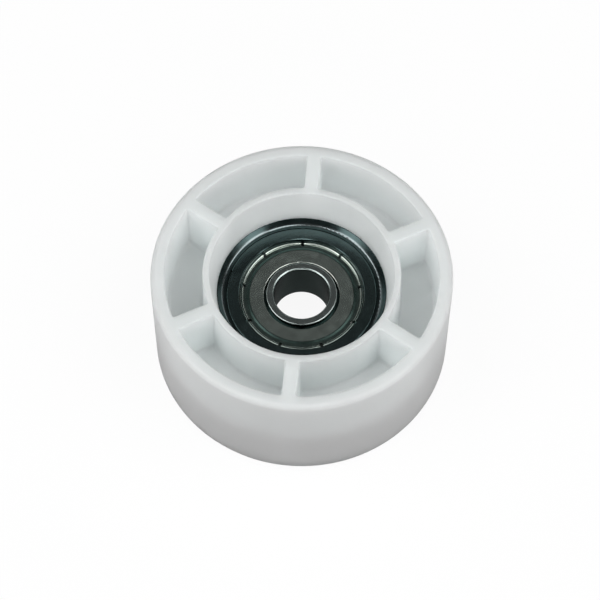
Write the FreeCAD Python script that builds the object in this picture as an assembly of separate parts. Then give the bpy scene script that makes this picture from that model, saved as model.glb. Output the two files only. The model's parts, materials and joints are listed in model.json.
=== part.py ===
"""Flat-belt idler pulley: a ribbed plastic wheel that turns on a shielded ball bearing.

Millimetres, +Z up along the axle. The wheel lies on its lower end face, which is z = 0.
"""
import FreeCAD
import Part
import math
import os

# Wheel moulding
WHEEL_D = 43.0            # belt surface
WHEEL_H = 19.4            # overall width of the wheel
RIM_WALL = 2.0            # rim wall at the end faces
HUB_WALL = 0.95           # hub wall around its mouth
WEB_T = 2.0               # web halfway up, between rim and hub
RIB_COUNT = 6             # ribs on each side of the web
RIB_T = 2.0               # rib at the end faces
DRAFT_DEG = 1.0           # draft of the pocket walls
RECESS_FLARE = 0.95       # how much wider the hub's mouth is than the sleeve
RIM_EDGE_R = 0.8          # rounding of the belt surface's edges
MOUTH_R = 0.25            # rounding of the pocket and hub mouths
POCKET_CORNER_R = 0.3     # upright corners of a pocket
POCKET_FLOOR_R = 0.5      # foot of the pocket walls

# Steel sleeve moulded into the hub
SLEEVE_WALL = 1.2
SLEEVE_PROUD = 0.7        # how far it stands past each face of the bearing
SLEEVE_LAND = 0.1         # flat around the cone
LIP_W = 0.35              # lip staked over the bearing, from the cone's foot to the bore
LIP_REACH = 0.15          # how far the lip reaches in over the ring's corner
LIP_T = 0.1               # lip's height over the ring face
LIP_GAP = 0.02            # air between the lip and the ring's corner
CONE_FOOT_R = 0.3         # rounding where the cone meets the lip
SLEEVE_KEY_W = 2.4        # groove around the sleeve that the plastic grips
SLEEVE_KEY_DEPTH = 0.4

# Bearing
BORE_D = 8.0
BEARING_D = 22.0
BEARING_W = 7.0
RING_CORNER_R = 0.3       # corners at the bore and at the outside
BALL_D = 3.969
BALL_COUNT = 7
RACE_RATIO = 0.52         # groove radius over ball diameter
BALL_GAP = 0.02           # running gap between a ball and each groove
INNER_SHOULDER = 0.55     # height of the inner ring's shoulders over its groove
OUTER_SHOULDER = 0.75     # height of the outer ring's shoulders over its groove
INNER_FACE_WALL = 1.1     # inner ring's wall at its end faces
INNER_STEP_GAP = 0.3      # air between the inner ring's shoulder and the shield over it
INNER_EDGE_R = 0.15       # inner ring's face edge beside the shield
MOUTH_EDGE = 0.08         # light break of the outer ring's mouth

# Pressed sheet shields
SHIELD_T = 0.2
SHIELD_SINK = 0.55        # shield's flat below the ring face
SHIELD_EDGE_R = 0.15      # rounding of the shield's hole
BEAD_SINK = 0.3           # top of the shield's rolled rim below the ring face
BEAD_INNER_R = 0.06       # inside radius of the rolled rim
CHANNEL_W = 0.55          # channel inside the rolled rim
CHANNEL_DEPTH = 0.05      # how far the channel lies below the flat
CHANNEL_SLOPE = 0.3       # width of the slope down to the channel
SHIELD_GAP = 0.32         # slit between the shield and the inner ring
BEAD_GAP = 0.08           # slit between the rolled rim and the outer ring's mouth
FOOT_REACH = 0.15         # how far the rim's foot reaches under the ring's mouth
FOOT_GAP = 0.03           # air over and around the foot
MOUTH_WALL = 1.95         # outer ring's wall at its end faces
NOTCH_COUNT = 9
NOTCH_W = 0.45
NOTCH_L = 0.75            # in from the outside of the rolled rim
NOTCH_START_DEG = 24.5

# Two-part ribbon cage
CAGE_T = 0.32
CAGE_SIDE_GAP = 0.5       # between the ribbon and the shoulders of each ring
CAGE_POCKET_GAP = 0.05    # between ball and pocket
RIVET_D = 0.7
RIVET_HEAD_D = 1.2
RIVET_HEAD_H = 0.28

# Levels and radii that follow
MID_Z = WHEEL_H / 2
FACE_Z = BEARING_W / 2
WHEEL_R = WHEEL_D / 2
BORE_R = BORE_D / 2
BEARING_R = BEARING_D / 2
SLEEVE_R = BEARING_R + SLEEVE_WALL
SLEEVE_TOP = FACE_Z + SLEEVE_PROUD
RECESS_R = SLEEVE_R + RECESS_FLARE
HUB_R = RECESS_R + HUB_WALL
PITCH_R = (BORE_R + BEARING_R) / 2
BALL_R = BALL_D / 2
RACE_R = RACE_RATIO * BALL_D
INNER_RACE = PITCH_R - BALL_R - BALL_GAP
OUTER_RACE = PITCH_R + BALL_R + BALL_GAP
INNER_LAND = INNER_RACE + INNER_SHOULDER
OUTER_LAND = OUTER_RACE - OUTER_SHOULDER
CAGE_INSIDE = INNER_LAND + CAGE_SIDE_GAP
CAGE_OUTSIDE = OUTER_LAND - CAGE_SIDE_GAP
INNER_FACE_R = BORE_R + INNER_FACE_WALL
MOUTH_RADIUS = BEARING_R - MOUTH_WALL
SHIELD_TOP = FACE_Z - SHIELD_SINK
CHANNEL_Z = SHIELD_TOP - CHANNEL_DEPTH
SHIELD_FOOT = CHANNEL_Z - SHIELD_T
INNER_STEP_Z = SHIELD_FOOT - INNER_STEP_GAP
BEAD_OUTER_R = BEAD_INNER_R + SHIELD_T
BEAD_CENTRE_R = MOUTH_RADIUS - BEAD_GAP - BEAD_OUTER_R
BEAD_CENTRE_Z = FACE_Z - BEAD_SINK - BEAD_OUTER_R
CHANNEL_R = BEAD_CENTRE_R - BEAD_OUTER_R - CHANNEL_W
FOOT_R = MOUTH_RADIUS + FOOT_REACH
FOOT_TOP = SHIELD_FOOT + SHIELD_T
SEAT_ROOF = FOOT_TOP + FOOT_GAP
POCKET_DEPTH = (WHEEL_H - WEB_T) / 2
DRAFT = math.tan(math.radians(DRAFT_DEG))

AXIS = FreeCAD.Vector(0, 0, 1)
ORIGIN = FreeCAD.Vector(0, 0, 0)


def at(r, z):
    """A point of a turned profile, at radius r and height z."""
    return FreeCAD.Vector(r, 0, z)


def turned(edges):
    """The solid of revolution of a closed profile."""
    face = Part.Face(Part.Wire(Part.__sortEdges__(edges)))
    return face.revolve(ORIGIN, AXIS, 360)


def outline(points):
    """Straight edges around a closed profile."""
    pairs = zip(points, points[1:] + points[:1])
    return [Part.makeLine(a, b) for a, b in pairs]


def arc(start, middle, end):
    return Part.Arc(start, middle, end).toShape()


def rounding(centre_r, centre_z, radius, first, last):
    """An arc of a profile about a centre, from one angle to another in degrees, 0 being outward."""
    points = []
    for angle in (first, (first + last) / 2, last):
        turn = math.radians(angle)
        points.append(at(centre_r + radius * math.cos(turn), centre_z + radius * math.sin(turn)))
    return arc(*points)


def lines(*points):
    """Straight edges along an open chain of points."""
    return [Part.makeLine(a, b) for a, b in zip(points, points[1:])]


def spun(shape, degrees):
    """A copy turned about the axle."""
    copy = shape.copy()
    copy.rotate(ORIGIN, AXIS, degrees)
    return copy


def flipped(shape):
    """A copy mirrored through the wheel's mid-plane."""
    return shape.mirror(ORIGIN, AXIS)


def at_level(shape, z, test):
    """Edges that lie wholly at height z and pass a test."""
    found = []
    for edge in shape.Edges:
        box = edge.BoundBox
        if abs(box.ZMin - z) < 1e-6 and abs(box.ZMax - z) < 1e-6 and test(edge):
            found.append(edge)
    return found


def reach(edge):
    """Distance of an edge's middle from the axle."""
    first, last = edge.ParameterRange
    middle = edge.valueAt((first + last) / 2)
    return math.hypot(middle.x, middle.y)


def pocket_cores():
    """The six cores that leave the upper pockets, drafted, with rounded corners and feet."""
    floor = WEB_T / 2
    top = floor + POCKET_DEPTH
    lean = DRAFT * POCKET_DEPTH
    outer = WHEEL_R - RIM_WALL
    core = Part.makeCone(outer - lean, outer, POCKET_DEPTH, at(0, floor))
    core = core.cut(Part.makeCone(HUB_R + lean, HUB_R, POCKET_DEPTH, at(0, floor)))
    half_top = RIB_T / 2
    half_floor = half_top + lean
    section = Part.makePolygon([
        FreeCAD.Vector(0, -half_floor, floor),
        FreeCAD.Vector(0, half_floor, floor),
        FreeCAD.Vector(0, half_top, top),
        FreeCAD.Vector(0, -half_top, top),
        FreeCAD.Vector(0, -half_floor, floor),
    ])
    rib = Part.Face(section).extrude(FreeCAD.Vector(WHEEL_R, 0, 0))
    ribs = [spun(rib, 360 / RIB_COUNT * i) for i in range(RIB_COUNT)]
    cores = []
    for solid in core.cut(ribs).Solids:
        upright = [e for e in solid.Edges if e.BoundBox.ZLength > POCKET_DEPTH / 2]
        solid = solid.makeFillet(POCKET_CORNER_R, upright)
        solid = solid.makeFillet(POCKET_FLOOR_R, at_level(solid, floor, lambda e: True))
        cores.append(solid)
    return cores


def pulley_wheel():
    """Rim, web, ribs and hub in one moulding, the same on both sides."""
    end = WHEEL_H / 2
    key = SLEEVE_KEY_W / 2
    key_r = SLEEVE_R - SLEEVE_KEY_DEPTH
    body = turned(outline([
        at(WHEEL_R, -end),
        at(WHEEL_R, end),
        at(RECESS_R, end),
        at(SLEEVE_R, SLEEVE_TOP),
        at(SLEEVE_R, key),
        at(key_r, key),
        at(key_r, -key),
        at(SLEEVE_R, -key),
        at(SLEEVE_R, -SLEEVE_TOP),
        at(RECESS_R, -end),
    ]))
    cores = pocket_cores()
    body = body.cut(cores + [flipped(core) for core in cores])
    for level in (-end, end):
        rim = at_level(body, level, lambda e: reach(e) > WHEEL_R - RIM_WALL / 2)
        body = body.makeFillet(RIM_EDGE_R, rim)
        mouths = at_level(body, level, lambda e: reach(e) < WHEEL_R - RIM_WALL / 2)
        body = body.makeFillet(MOUTH_R, mouths)
    return body


def bearing_sleeve():
    """Steel tube with a cone at each end, staked over the bearing, and a groove for the plastic."""
    key = SLEEVE_KEY_W / 2
    key_r = SLEEVE_R - SLEEVE_KEY_DEPTH
    lip_r = BEARING_R - LIP_REACH
    lip_top = FACE_Z + LIP_T
    corner_r = BEARING_R - RING_CORNER_R
    corner_z = FACE_Z - RING_CORNER_R
    hollow = RING_CORNER_R + LIP_GAP
    lip_angle = math.degrees(math.acos((lip_r - corner_r) / hollow))
    lip_foot = corner_z + hollow * math.sin(math.radians(lip_angle))
    edges = lines(at(BEARING_R, -corner_z), at(BEARING_R, corner_z))
    edges += lines(at(key_r, -key), at(key_r, key))
    for side in (-1, 1):
        edges += lines(at(BEARING_R, side * corner_z), at(corner_r + hollow, side * corner_z))
        edges.append(rounding(corner_r, side * corner_z, hollow, 0, side * lip_angle))
        edges += lines(
            at(lip_r, side * lip_foot),
            at(lip_r, side * lip_top),
            at(BEARING_R + LIP_W, side * lip_top),
            at(SLEEVE_R - SLEEVE_LAND, side * SLEEVE_TOP),
            at(SLEEVE_R, side * SLEEVE_TOP),
            at(SLEEVE_R, side * key),
            at(key_r, side * key),
        )
    sleeve = turned(edges)
    feet = []
    for level in (-lip_top, lip_top):
        feet += at_level(sleeve, level, lambda e: reach(e) > BEARING_R)
    return sleeve.makeFillet(CONE_FOOT_R, feet)


def groove_half(centre_r, land_r):
    """Half the width of a ball groove where it meets a shoulder."""
    return math.sqrt(RACE_R ** 2 - (land_r - centre_r) ** 2)


def bearing_outer_ring():
    """Outer ring with its ball groove and a stepped seat for each shield."""
    centre = OUTER_RACE - RACE_R
    half = groove_half(centre, OUTER_LAND)
    corner = RING_CORNER_R
    edges = [arc(at(OUTER_LAND, -half), at(OUTER_RACE, 0), at(OUTER_LAND, half))]
    for side in (-1, 1):
        edges += lines(
            at(OUTER_LAND, side * half),
            at(OUTER_LAND, side * SHIELD_FOOT),
            at(FOOT_R, side * SHIELD_FOOT),
            at(FOOT_R, side * SEAT_ROOF),
            at(MOUTH_RADIUS, side * SEAT_ROOF),
            at(MOUTH_RADIUS, side * (FACE_Z - MOUTH_EDGE)),
            at(MOUTH_RADIUS + MOUTH_EDGE, side * FACE_Z),
            at(BEARING_R - corner, side * FACE_Z),
        )
        edges.append(rounding(BEARING_R - corner, side * (FACE_Z - corner), corner, side * 90, 0))
    edges += lines(at(BEARING_R, -FACE_Z + corner), at(BEARING_R, FACE_Z - corner))
    return turned(edges)


def bearing_inner_ring():
    """Inner ring with its ball groove, stepped back under each shield."""
    centre = INNER_RACE + RACE_R
    half = groove_half(centre, INNER_LAND)
    corner = RING_CORNER_R
    edge = INNER_EDGE_R
    edges = [arc(at(INNER_LAND, -half), at(INNER_RACE, 0), at(INNER_LAND, half))]
    for side in (-1, 1):
        edges += lines(
            at(INNER_LAND, side * half),
            at(INNER_LAND, side * INNER_STEP_Z),
            at(INNER_FACE_R, side * INNER_STEP_Z),
            at(INNER_FACE_R, side * (FACE_Z - edge)),
        )
        edges.append(rounding(INNER_FACE_R - edge, side * (FACE_Z - edge), edge, 0, side * 90))
        edges += lines(at(INNER_FACE_R - edge, side * FACE_Z), at(BORE_R + corner, side * FACE_Z))
        edges.append(rounding(BORE_R + corner, side * (FACE_Z - corner), corner, side * 90, side * 180))
    edges += lines(at(BORE_R, -FACE_Z + corner), at(BORE_R, FACE_Z - corner))
    return turned(edges)


def bearing_shield():
    """Upper shield: a dished ring rolled over at its rim, which is notched so that it can spring."""
    inner = INNER_FACE_R + SHIELD_GAP
    slope = CHANNEL_R - CHANNEL_SLOPE
    edge = SHIELD_EDGE_R
    r, z = BEAD_CENTRE_R, BEAD_CENTRE_Z
    edges = lines(
        at(r + BEAD_INNER_R, z),
        at(r + BEAD_INNER_R, SHIELD_FOOT),
        at(FOOT_R - FOOT_GAP, SHIELD_FOOT),
        at(FOOT_R - FOOT_GAP, FOOT_TOP),
        at(r + BEAD_OUTER_R, FOOT_TOP),
        at(r + BEAD_OUTER_R, z),
    )
    edges.append(rounding(r, z, BEAD_OUTER_R, 0, 180))
    edges += lines(
        at(r - BEAD_OUTER_R, z),
        at(r - BEAD_OUTER_R, CHANNEL_Z),
        at(CHANNEL_R, CHANNEL_Z),
        at(slope, SHIELD_TOP),
        at(inner + edge, SHIELD_TOP),
    )
    edges.append(rounding(inner + edge, SHIELD_TOP - edge, edge, 90, 180))
    edges += lines(
        at(inner, SHIELD_TOP - edge),
        at(inner, SHIELD_TOP - SHIELD_T),
        at(slope, SHIELD_TOP - SHIELD_T),
        at(CHANNEL_R, SHIELD_FOOT),
        at(r - BEAD_INNER_R, SHIELD_FOOT),
        at(r - BEAD_INNER_R, z),
    )
    edges.append(rounding(r, z, BEAD_INNER_R, 180, 0))
    shield = turned(edges)
    notch_r = r + BEAD_OUTER_R - NOTCH_L
    slot = Part.makeBox(FOOT_R, NOTCH_W, FACE_Z, FreeCAD.Vector(notch_r, -NOTCH_W / 2, 0))
    step = 360 / NOTCH_COUNT
    return shield.cut([spun(slot, NOTCH_START_DEG + step * i) for i in range(NOTCH_COUNT)])


def ball_centres():
    return [math.radians(360 / BALL_COUNT * i) for i in range(BALL_COUNT)]


def cage_half():
    """Upper half of the cage: a flat ribbon pressed up into a dome over each ball."""
    hollow = BALL_R + CAGE_POCKET_GAP
    dome = hollow + CAGE_T
    ribbon = Part.makeCylinder(CAGE_OUTSIDE, dome).cut(Part.makeCylinder(CAGE_INSIDE, dome))
    places = [FreeCAD.Vector(PITCH_R * math.cos(a), PITCH_R * math.sin(a), 0) for a in ball_centres()]
    flat = Part.makeCylinder(CAGE_OUTSIDE, CAGE_T).cut(Part.makeCylinder(CAGE_INSIDE, CAGE_T))
    domes = [Part.makeSphere(dome, place) for place in places]
    half = flat.fuse([ribbon.common(each) for each in domes])
    half = half.cut([Part.makeSphere(hollow, place) for place in places])
    holes = [Part.makeCylinder(RIVET_D / 2, CAGE_T, place) for place in rivet_places()]
    return half.cut(holes).removeSplitter()


def rivet_places():
    half_step = math.pi / BALL_COUNT
    return [
        FreeCAD.Vector(PITCH_R * math.cos(a + half_step), PITCH_R * math.sin(a + half_step), 0)
        for a in ball_centres()
    ]


def cage_rivets():
    """One rivet between each pair of balls, headed on both faces of the cage."""
    head = RIVET_HEAD_D / 2
    shank = RIVET_D / 2
    top = CAGE_T + RIVET_HEAD_H
    rivet = turned(outline([
        at(0, -top),
        at(head, -top),
        at(head, -CAGE_T),
        at(shank, -CAGE_T),
        at(shank, CAGE_T),
        at(head, CAGE_T),
        at(head, top),
        at(0, top),
    ]))
    rivets = []
    for place in rivet_places():
        copy = rivet.copy()
        copy.translate(place)
        rivets.append(copy)
    return Part.makeCompound(rivets)


def export(name, shape):
    """Lift a piece from the mid-plane to its height in the wheel and write it."""
    placed = shape.copy()
    placed.translate(at(0, MID_Z))
    placed.exportStep("parts/" + name + ".step")


os.makedirs("parts", exist_ok=True)

export("pulley_wheel", pulley_wheel())
export("bearing_sleeve", bearing_sleeve())
export("bearing_outer_ring", bearing_outer_ring())
export("bearing_inner_ring", bearing_inner_ring())

upper_shield = bearing_shield()
export("shield_upper", upper_shield)
export("shield_lower", flipped(upper_shield))

upper_cage = cage_half()
export("cage_upper_half", upper_cage)
export("cage_lower_half", flipped(upper_cage))
export("cage_rivets", cage_rivets())

for number, angle in enumerate(ball_centres(), 1):
    centre = FreeCAD.Vector(PITCH_R * math.cos(angle), PITCH_R * math.sin(angle), 0)
    export("ball_" + str(number), Part.makeSphere(BALL_R, centre))
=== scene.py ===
"""Looks of the idler pulley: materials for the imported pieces, floor, light and camera. Metres, +Z up."""
import bpy
import json
import math
from mathutils import Matrix, Vector


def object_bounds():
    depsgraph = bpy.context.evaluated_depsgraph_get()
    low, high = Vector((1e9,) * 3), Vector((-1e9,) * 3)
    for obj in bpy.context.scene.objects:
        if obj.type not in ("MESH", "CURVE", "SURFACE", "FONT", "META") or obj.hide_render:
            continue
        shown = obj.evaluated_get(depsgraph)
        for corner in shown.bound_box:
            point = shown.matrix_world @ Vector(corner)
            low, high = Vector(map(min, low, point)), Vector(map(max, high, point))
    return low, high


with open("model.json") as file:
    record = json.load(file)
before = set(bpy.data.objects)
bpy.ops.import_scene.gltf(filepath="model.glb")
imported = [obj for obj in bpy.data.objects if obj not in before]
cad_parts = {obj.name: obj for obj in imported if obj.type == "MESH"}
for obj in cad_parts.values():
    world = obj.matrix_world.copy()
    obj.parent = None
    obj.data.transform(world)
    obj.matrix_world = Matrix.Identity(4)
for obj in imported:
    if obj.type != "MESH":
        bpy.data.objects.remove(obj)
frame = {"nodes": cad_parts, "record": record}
cad_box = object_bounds()
MIDDLE = (cad_box[0] + cad_box[1]) / 2
TOP_Z = cad_box[1].z

# Camera
CAMERA_AZIMUTH = -25.0              # degrees; 0 looks along +Y
CAMERA_ELEVATION = 60.68            # degrees
CAMERA_ROLL = 0.4                   # degrees
CAMERA_DISTANCE = 0.3401            # to the centre of the wheel's upper face
FOCAL_PIXELS = 2400.0
IMAGE_SIZE = 600.0                  # pixels along each side of the picture
TOP_CENTRE_PIXEL = (301.6, 272.4)   # where the picture has the centre of the wheel's upper face
SENSOR_WIDTH = 36.0                 # millimetres
CLIP_START = 0.01

# Milky plastic: noise scales are per metre, a relief is scale, detail, depth and strength
PLASTIC_TONES = ((0.922, 0.978, 0.976), (0.936, 0.988, 0.986))
PLASTIC_CLOUD_SCALE = 70.0
# Painted shade: the wheel's two end faces get a darker tone than its walls, so that they look less lit
PLASTIC_END_SHADE_TONE = (0.715, 0.748, 0.745)
PLASTIC_END_FADE = 0.0005           # depth over which the tone of the end faces fades out
PLASTIC_ROUGHNESS = (0.40, 0.54)
PLASTIC_GLOSS_SCALE = 420.0
PLASTIC_GRAIN = (3200.0, 4.0, 0.00003, 0.25)
PLASTIC_WAVES = (160.0, 1.0, 0.0002, 0.12)
PLASTIC_IOR = 1.5
PLASTIC_SPECULAR = 0.35
PLASTIC_SCATTER = 0.007             # how far light spreads under the surface

# Steel
STEEL_TONE_SCALE = 260.0
STEEL_GLOSS_SCALE = 900.0
STEEL_GRAIN = (1500.0, 2.0, 0.00001, 0.06)
RING_DEPTH = 0.000002
RING_STRENGTH = 0.3
RING_DISTORTION = 1.5
RING_DETAIL = 2.0
RING_DETAIL_SCALE = 0.3
WAVE_FACTOR = 20.0                  # the wave texture's own factor on its scale, in radians

# Painted shade on the steel, which dims its reflections by radius outside narrow bands where highlight lines
# stay: pairs of radius and clearness, the share of the colour that the shade keeps, from the axle outward
# the tint makes the painted shade teal
SHADE_TINT = (1.22, 1.0, 1.02)        # powers of the clearness for red, green and blue
SHIELD_SHADE_STOPS = (
    (0.00554, 1.0), (0.00562, 0.74), (0.00743, 0.74), (0.00754, 0.18), (0.00788, 0.17), (0.00795, 0.28),
    (0.00837, 0.28), (0.00843, 1.0), (0.00857, 1.0), (0.00865, 0.12), (0.00877, 0.10), (0.00885, 0.90),
    (0.00897, 0.90),
)
SLEEVE_SHADE_STOPS = ((0.01120, 0.34), (0.01130, 1.0), (0.01148, 1.0), (0.01162, 0.34))
INNER_SHADE_STOPS = (
    (0.00400, 0.45), (0.00403, 0.85), (0.00492, 0.85), (0.00497, 1.0), (0.00507, 1.0), (0.00510, 0.12),
)

# Floor
FLOOR_HALF = 3.0
FLOOR_DROP = 0.00005                # below the wheel's lower end face
FLOOR_TONES = ((0.24, 0.24, 0.24), (0.28, 0.28, 0.28))
FLOOR_SEEN_TONE = (0.95, 0.95, 0.95)
FLOOR_PAPER_SCALE = 900.0
FLOOR_WHITE_SHARE = 0.92
FLOOR_SHADE_REACH = 0.03
FLOOR_SHADE_SAMPLES = 8

# Light: a softbox is its direction (right, front and up of the camera), width and height, and watts
SKY_LEVEL = 0.10
HORIZON_LEVEL = 0.5
HORIZON_FADE = (0.06, 0.22)         # heights on a unit sphere between which the horizon fades out
LAMP_DISTANCE = 0.70
FRONT_BOX = ((0.0, 0.90, 0.42), (0.30, 0.16), 0.66)
HIGH_BOX = ((0.54, 0.14, 0.83), (0.60, 0.60), 2.80)
LOW_BOX = ((0.75, 0.45, 0.47), (0.12, 0.12), 0.20)

# Sockets of the Mix node when it mixes colours
MIX_FACTOR = 0
MIX_FIRST = 6
MIX_SECOND = 7
MIX_RESULT = 2

# Range that noise mostly stays in
NOISE_LOW = 0.3
NOISE_HIGH = 0.7

scene = bpy.context.scene
scene.view_settings.view_transform = "Standard"


def new_material(name):
    """A node material with its Principled shader."""
    material = bpy.data.materials.new(name)
    material.use_nodes = True
    return material, material.node_tree.nodes["Principled BSDF"]


def add(owner, kind, **values):
    """A node of a material or a world, with its attributes and, under other names, its sockets set."""
    node = owner.node_tree.nodes.new(kind)
    for key, value in values.items():
        if hasattr(node, key):
            setattr(node, key, value)
        else:
            node.inputs[key.replace("_", " ")].default_value = value
    return node


def link(owner, source, target):
    owner.node_tree.links.new(source, target)


def feed(owner, value, socket):
    """Give a socket another node's output, a colour's tone or a number."""
    if isinstance(value, bpy.types.NodeSocket):
        link(owner, value, socket)
    elif isinstance(value, tuple):
        socket.default_value = (*value, 1.0)
    else:
        socket.default_value = value


def calculate(owner, operation, *values):
    node = add(owner, "ShaderNodeMath", operation=operation)
    for value, socket in zip(values, node.inputs):
        feed(owner, value, socket)
    return node.outputs["Value"]


def mix_colours(owner, factor, first, second, blend_type="MIX"):
    node = add(owner, "ShaderNodeMix", data_type="RGBA", blend_type=blend_type)
    feed(owner, factor, node.inputs[MIX_FACTOR])
    feed(owner, first, node.inputs[MIX_FIRST])
    feed(owner, second, node.inputs[MIX_SECOND])
    return node.outputs[MIX_RESULT]


def place(material):
    """Coordinates in metres, in the part's own frame."""
    return add(material, "ShaderNodeTexCoord").outputs["Object"]


def height(owner, where):
    parts = add(owner, "ShaderNodeSeparateXYZ")
    link(owner, where, parts.inputs["Vector"])
    return parts.outputs["Z"]


def noise(material, where, scale, detail=3.0):
    node = add(material, "ShaderNodeTexNoise", Scale=scale, Detail=detail)
    link(material, where, node.inputs["Vector"])
    return node.outputs["Fac"]


def noise_between(material, where, scale, low=0.0, high=1.0):
    """Noise spread over low to high."""
    node = add(
        material, "ShaderNodeMapRange", From_Min=NOISE_LOW, From_Max=NOISE_HIGH, To_Min=low, To_Max=high
    )
    link(material, noise(material, where, scale), node.inputs["Value"])
    return node.outputs["Result"]


def bump(material, shape, depth, strength, under=None):
    node = add(material, "ShaderNodeBump", Strength=strength, Distance=depth)
    link(material, shape, node.inputs["Height"])
    if under is not None:
        link(material, under, node.inputs["Normal"])
    return node.outputs["Normal"]


def relief(material, where, grain, under=None):
    """A bump made of noise."""
    scale, detail, depth, strength = grain
    return bump(material, noise(material, where, scale, detail), depth, strength, under)


def turning_rings(material, where, period):
    """Fine rings about the axle, as a tool leaves them, with a slightly uneven pitch."""
    node = add(
        material,
        "ShaderNodeTexWave",
        wave_type="RINGS",
        rings_direction="Z",
        wave_profile="SIN",
        Scale=2.0 * math.pi / (WAVE_FACTOR * period),
        Distortion=RING_DISTORTION,
        Detail=RING_DETAIL,
        Detail_Scale=RING_DETAIL_SCALE,
    )
    link(material, where, node.inputs["Vector"])
    return node.outputs["Fac"]


def painted_end_shade(material, where):
    """1 on the wheel's two end faces, where shade is painted, and 0 below them."""
    from_middle = calculate(material, "SUBTRACT", height(material, where), MIDDLE.z)
    half = TOP_Z - MIDDLE.z
    near = add(material, "ShaderNodeMapRange", From_Min=half - PLASTIC_END_FADE, From_Max=half)
    link(material, calculate(material, "ABSOLUTE", from_middle), near.inputs["Value"])
    return near.outputs["Result"]


def milky_plastic():
    material, shader = new_material("milky_plastic")
    where = place(material)
    cloud = noise_between(material, where, PLASTIC_CLOUD_SCALE)
    body = mix_colours(material, cloud, *PLASTIC_TONES)
    # painted shade: a darker tone on the two end faces
    colour = mix_colours(material, painted_end_shade(material, where), body, PLASTIC_END_SHADE_TONE)
    gloss = noise_between(material, where, PLASTIC_GLOSS_SCALE, *PLASTIC_ROUGHNESS)
    skin = relief(material, where, PLASTIC_WAVES, relief(material, where, PLASTIC_GRAIN))
    link(material, colour, shader.inputs["Base Color"])
    link(material, gloss, shader.inputs["Roughness"])
    link(material, skin, shader.inputs["Normal"])
    shader.inputs["IOR"].default_value = PLASTIC_IOR
    shader.inputs["Specular IOR Level"].default_value = PLASTIC_SPECULAR
    shader.inputs["Subsurface Weight"].default_value = 1.0
    shader.inputs["Subsurface Radius"].default_value = (1.0, 1.0, 1.0)
    shader.inputs["Subsurface Scale"].default_value = PLASTIC_SCATTER
    return material


def shade_by_radius(material, where, colour, stops):
    """The colour, darkened by painted shade whose clearness goes with the radius."""
    start, end = stops[0][0], stops[-1][0]
    flat = add(material, "ShaderNodeVectorMath", operation="MULTIPLY")
    flat.inputs[1].default_value = (1.0, 1.0, 0.0)
    link(material, where, flat.inputs[0])
    radius = add(material, "ShaderNodeVectorMath", operation="LENGTH")
    link(material, flat.outputs["Vector"], radius.inputs[0])
    along = add(material, "ShaderNodeMapRange", From_Min=start, From_Max=end)
    link(material, radius.outputs["Value"], along.inputs["Value"])
    painted_shade = add(material, "ShaderNodeValToRGB")
    link(material, along.outputs["Result"], painted_shade.inputs["Fac"])
    marks = painted_shade.color_ramp.elements
    while len(marks) < len(stops):
        marks.new(1.0)
    for mark, (spot, clear) in zip(marks, stops):
        mark.position = (spot - start) / (end - start)
        mark.color = (*(clear ** power for power in SHADE_TINT), 1.0)
    return mix_colours(material, 1.0, colour, painted_shade.outputs["Color"], "MULTIPLY")


def steel(name, tones, roughness, period=None, painted_shade=None):
    """Bare steel with uneven tone and gloss, with fine rings where it is turned or ground, and with painted
    shade by radius where stops are given.
    """
    material, shader = new_material(name)
    where = place(material)
    colour = mix_colours(material, noise_between(material, where, STEEL_TONE_SCALE), *tones)
    if painted_shade is not None:
        # painted shade by radius on the steel's colour
        colour = shade_by_radius(material, where, colour, painted_shade)
    gloss = noise_between(material, where, STEEL_GLOSS_SCALE, *roughness)
    skin = relief(material, where, STEEL_GRAIN)
    if period is not None:
        skin = bump(material, turning_rings(material, where, period), RING_DEPTH, RING_STRENGTH, skin)
    link(material, colour, shader.inputs["Base Color"])
    link(material, gloss, shader.inputs["Roughness"])
    link(material, skin, shader.inputs["Normal"])
    shader.inputs["Metallic"].default_value = 1.0
    return material


# Finish of each material slot, and of the inner ring, which is brighter than the outer one
# The sleeve, shield and inner ring get painted shade by radius on top of their steel
FINISHES = {
    "wheel_plastic": milky_plastic(),
    "sleeve_steel": steel(
        "dark_sleeve_steel",
        tones=((0.185, 0.22, 0.225), (0.215, 0.25, 0.255)),
        roughness=(0.12, 0.19),
        period=0.00012,
        painted_shade=SLEEVE_SHADE_STOPS,
    ),
    "ring_steel": steel(
        "ground_ring_steel",
        tones=((0.085, 0.125, 0.124), (0.105, 0.150, 0.149)),
        roughness=(0.16, 0.24),
        period=0.00010,
    ),
    "shield_steel": steel(
        "satin_shield_steel",
        tones=((0.57, 0.62, 0.575), (0.65, 0.70, 0.65)),
        roughness=(0.19, 0.27),
        painted_shade=SHIELD_SHADE_STOPS,
    ),
    "cage_steel": steel(
        "pressed_cage_steel",
        tones=((0.42, 0.42, 0.41), (0.50, 0.50, 0.48)),
        roughness=(0.28, 0.40),
    ),
    "ball_steel": steel(
        "polished_ball_steel",
        tones=((0.68, 0.69, 0.71), (0.74, 0.75, 0.77)),
        roughness=(0.05, 0.09),
    ),
}
INNER_RING_FINISH = steel(
    "ground_inner_ring_steel",
    tones=((0.39, 0.43, 0.42), (0.46, 0.51, 0.495)),
    roughness=(0.17, 0.25),
    period=0.00012,
    painted_shade=INNER_SHADE_STOPS,
)

for part in frame["record"]["subparts"]:
    cad = frame["nodes"][part["node"]]
    cad.data.materials.clear()
    finish = INNER_RING_FINISH if part["node"] == "bearing_inner_ring" else FINISHES[part["material_slot"]]
    cad.data.materials.append(finish)


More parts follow.
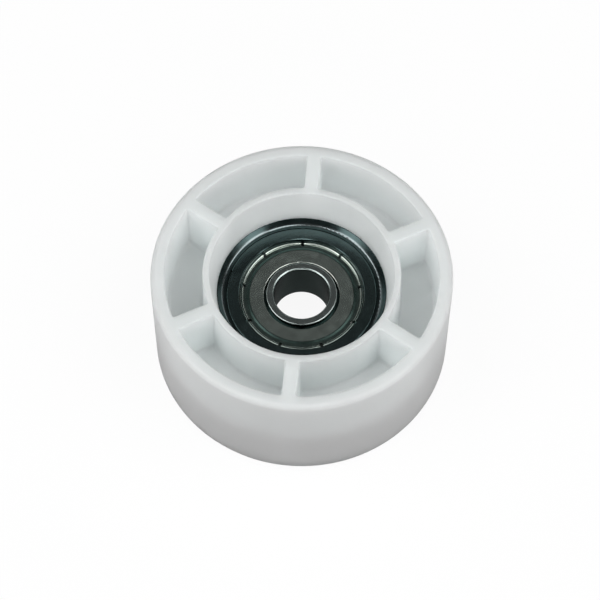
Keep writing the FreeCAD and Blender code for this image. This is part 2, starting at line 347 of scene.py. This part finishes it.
def pale_floor():
    """A grey floor that the camera, metal and glass see as white, with the object's shadow kept."""
    material, shader = new_material("pale_floor")
    nodes = material.node_tree.nodes
    nodes.remove(shader)
    rays = add(material, "ShaderNodeLightPath").outputs
    shade = add(
        material, "ShaderNodeAmbientOcclusion", samples=FLOOR_SHADE_SAMPLES, Distance=FLOOR_SHADE_REACH
    )
    mirrored = calculate(material, "MAXIMUM", rays["Is Glossy Ray"], rays["Is Transmission Ray"])
    shaded = calculate(material, "MULTIPLY", mirrored, shade.outputs["AO"])
    seen = calculate(material, "MAXIMUM", rays["Is Camera Ray"], shaded)
    share = calculate(material, "MULTIPLY", seen, FLOOR_WHITE_SHARE)
    paper = noise_between(material, place(material), FLOOR_PAPER_SCALE)
    tone = mix_colours(material, paper, *FLOOR_TONES)
    matt = add(material, "ShaderNodeBsdfDiffuse")
    link(material, mix_colours(material, rays["Is Camera Ray"], tone, FLOOR_SEEN_TONE), matt.inputs["Color"])
    white = add(material, "ShaderNodeEmission", Strength=1.0)
    mix = add(material, "ShaderNodeMixShader")
    link(material, share, mix.inputs[0])
    link(material, matt.outputs["BSDF"], mix.inputs[1])
    link(material, white.outputs["Emission"], mix.inputs[2])
    link(material, mix.outputs["Shader"], nodes["Material Output"].inputs["Surface"])
    return material


mesh = bpy.data.meshes.new("floor")
mesh.from_pydata(
    [(x * FLOOR_HALF, y * FLOOR_HALF, -FLOOR_DROP) for x, y in ((-1, -1), (1, -1), (1, 1), (-1, 1))],
    [],
    [(0, 1, 2, 3)],
)
floor = bpy.data.objects.new("floor", mesh)
scene.collection.objects.link(floor)
floor.data.materials.append(pale_floor())

azimuth = math.radians(CAMERA_AZIMUTH)
elevation = math.radians(CAMERA_ELEVATION)
RIGHT = Vector((math.cos(azimuth), math.sin(azimuth), 0))
FRONT = Vector((math.sin(azimuth), -math.cos(azimuth), 0))
UP = Vector((0, 0, 1))


def studio_world():
    """A pale horizon all round, under a dim sky."""
    world = bpy.data.worlds.new("studio")
    scene.world = world
    world.use_nodes = True
    direction = add(world, "ShaderNodeTexCoord").outputs["Generated"]
    low, high = HORIZON_FADE
    horizon = add(
        world,
        "ShaderNodeMapRange",
        interpolation_type="SMOOTHSTEP",
        From_Min=low,
        From_Max=high,
        To_Min=HORIZON_LEVEL,
        To_Max=0.0,
    )
    link(world, height(world, direction), horizon.inputs["Value"])
    level = calculate(world, "MAXIMUM", SKY_LEVEL, horizon.outputs["Result"])
    link(world, level, world.node_tree.nodes["Background"].inputs["Color"])


def softbox(name, box, side=1):
    """A lamp turned to the object; side -1 puts it on the left instead of the right."""
    (right, front, up), (width, depth), watts = box
    lamp = bpy.data.lights.new(name, "AREA")
    lamp.shape = "RECTANGLE"
    lamp.size = width
    lamp.size_y = depth
    lamp.energy = watts
    out = (RIGHT * right * side + FRONT * front + UP * up).normalized()
    item = bpy.data.objects.new(name, lamp)
    item.location = MIDDLE + out * LAMP_DISTANCE
    item.rotation_euler = out.to_track_quat("Z", "Y").to_euler()
    scene.collection.objects.link(item)


studio_world()
softbox("softbox_front", FRONT_BOX)
for word, side in (("left", -1), ("right", 1)):
    softbox("softbox_high_" + word, HIGH_BOX, side)
    softbox("softbox_low_" + word, LOW_BOX, side)


def place_camera():
    """The camera, shifted so that the wheel's upper face is centred on its pixel."""
    top_centre = Vector((0, 0, TOP_Z))
    toward = FRONT * math.cos(elevation) + UP * math.sin(elevation)
    screen_up = toward.cross(RIGHT)
    off_right = (TOP_CENTRE_PIXEL[0] - IMAGE_SIZE / 2) / FOCAL_PIXELS * CAMERA_DISTANCE
    off_up = (IMAGE_SIZE / 2 - TOP_CENTRE_PIXEL[1]) / FOCAL_PIXELS * CAMERA_DISTANCE
    aim = top_centre - RIGHT * off_right - screen_up * off_up
    eye = top_centre + toward * CAMERA_DISTANCE
    lens = bpy.data.cameras.new("camera")
    lens.sensor_fit = "HORIZONTAL"
    lens.sensor_width = SENSOR_WIDTH
    lens.lens = SENSOR_WIDTH * FOCAL_PIXELS / IMAGE_SIZE
    lens.clip_start = CLIP_START
    camera = bpy.data.objects.new("camera", lens)
    level = (eye - aim).to_track_quat("Z", "Y").to_matrix()
    turn = level @ Matrix.Rotation(math.radians(CAMERA_ROLL), 3, "Z")
    camera.matrix_world = Matrix.Translation(eye) @ turn.to_4x4()
    scene.collection.objects.link(camera)
    scene.camera = camera


place_camera()
